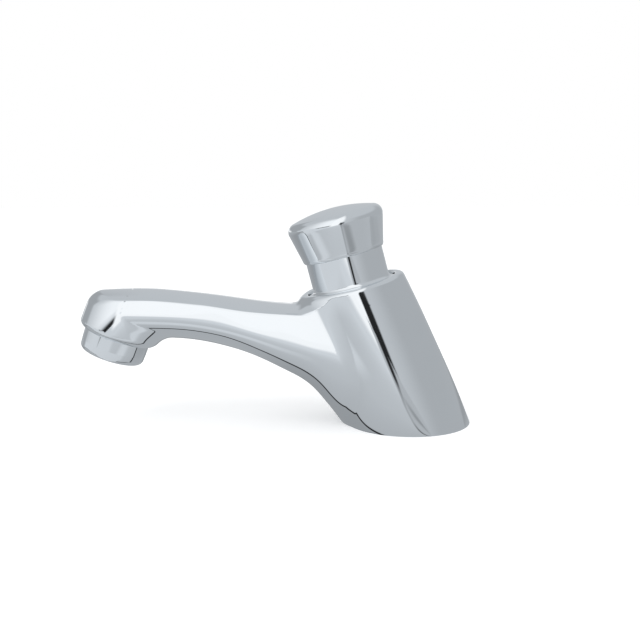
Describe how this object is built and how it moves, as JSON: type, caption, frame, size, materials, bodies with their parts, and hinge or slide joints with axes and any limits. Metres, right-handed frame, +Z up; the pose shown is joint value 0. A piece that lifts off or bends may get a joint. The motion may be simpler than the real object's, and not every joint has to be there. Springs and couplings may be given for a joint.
{
  "type": "basin tap",
  "caption": "Deck-mounted self-closing basin tap with a tilted push-button on a tapered column, a long curved spout with an angled aerator, and a threaded tail with its clamp nut.",
  "frame": {"origin": "centre of the round foot on the deck, where the tail goes through the basin's tap hole", "axes": "+Z up out of the deck, the spout points to -Y, and x = 0 is the mirror plane"},
  "size_m": [0.048, 0.1469, 0.1353],
  "materials": {
    "chrome": "polished",
    "brass": "machined",
    "steel": "plain",
    "black_rubber": "matt",
    "white_plastic": "moulded"
  },
  "bodies": {
    "tap": {"tap_body": "chrome", "guide_sleeve": "chrome", "cartridge_barrel": "white_plastic", "barrel_o_rings": "black_rubber", "stem_gland": "brass", "stem_seal": "black_rubber", "gland_circlip": "steel", "seat_ring": "brass", "return_spring": "steel", "aerator_housing": "chrome", "aerator_washer": "black_rubber", "aerator_insert": "white_plastic", "aerator_screen": "steel", "inlet_tail": "brass", "tail_o_ring": "black_rubber", "flow_regulator": "white_plastic", "inlet_filter": "white_plastic", "base_gasket": "black_rubber", "anti_rotation_pin": "steel"},
    "push_button": {"button_cap": "chrome", "stem": "steel", "stem_locknut": "steel", "piston": "white_plastic", "piston_seal": "black_rubber", "piston_clip": "steel", "poppet": "brass", "poppet_washer": "black_rubber", "poppet_nut": "steel"},
    "clamp_washers": {"clamp_rubber": "black_rubber", "clamp_washer": "steel"},
    "clamp_nut": {"backnut": "brass"}
  },
  "joints": [
    {"name": "button_press", "type": "slide", "parent": "tap", "child": "push_button", "axis": [0, 0.2554, -0.9668], "range_m": [0, 0.007], "stiffness_N_per_m": 500, "springref_m": -0.018, "deforming": ["return_spring"]},
    {"name": "clamp_travel", "type": "slide", "parent": "tap", "child": "clamp_washers", "axis": [0, 0, 1], "range_m": [-0.01471, 0.00746]},
    {"name": "nut_spin", "type": "hinge", "parent": "clamp_washers", "child": "clamp_nut", "pos_m": [0, 0, -0.026], "axis": [0, 0, 1], "range_deg": [-2880, 1440]}
  ],
  "couplings": [
    {"joint": "clamp_travel", "follows": "nut_spin", "m_per_rad": 0.00028876}
  ]
}
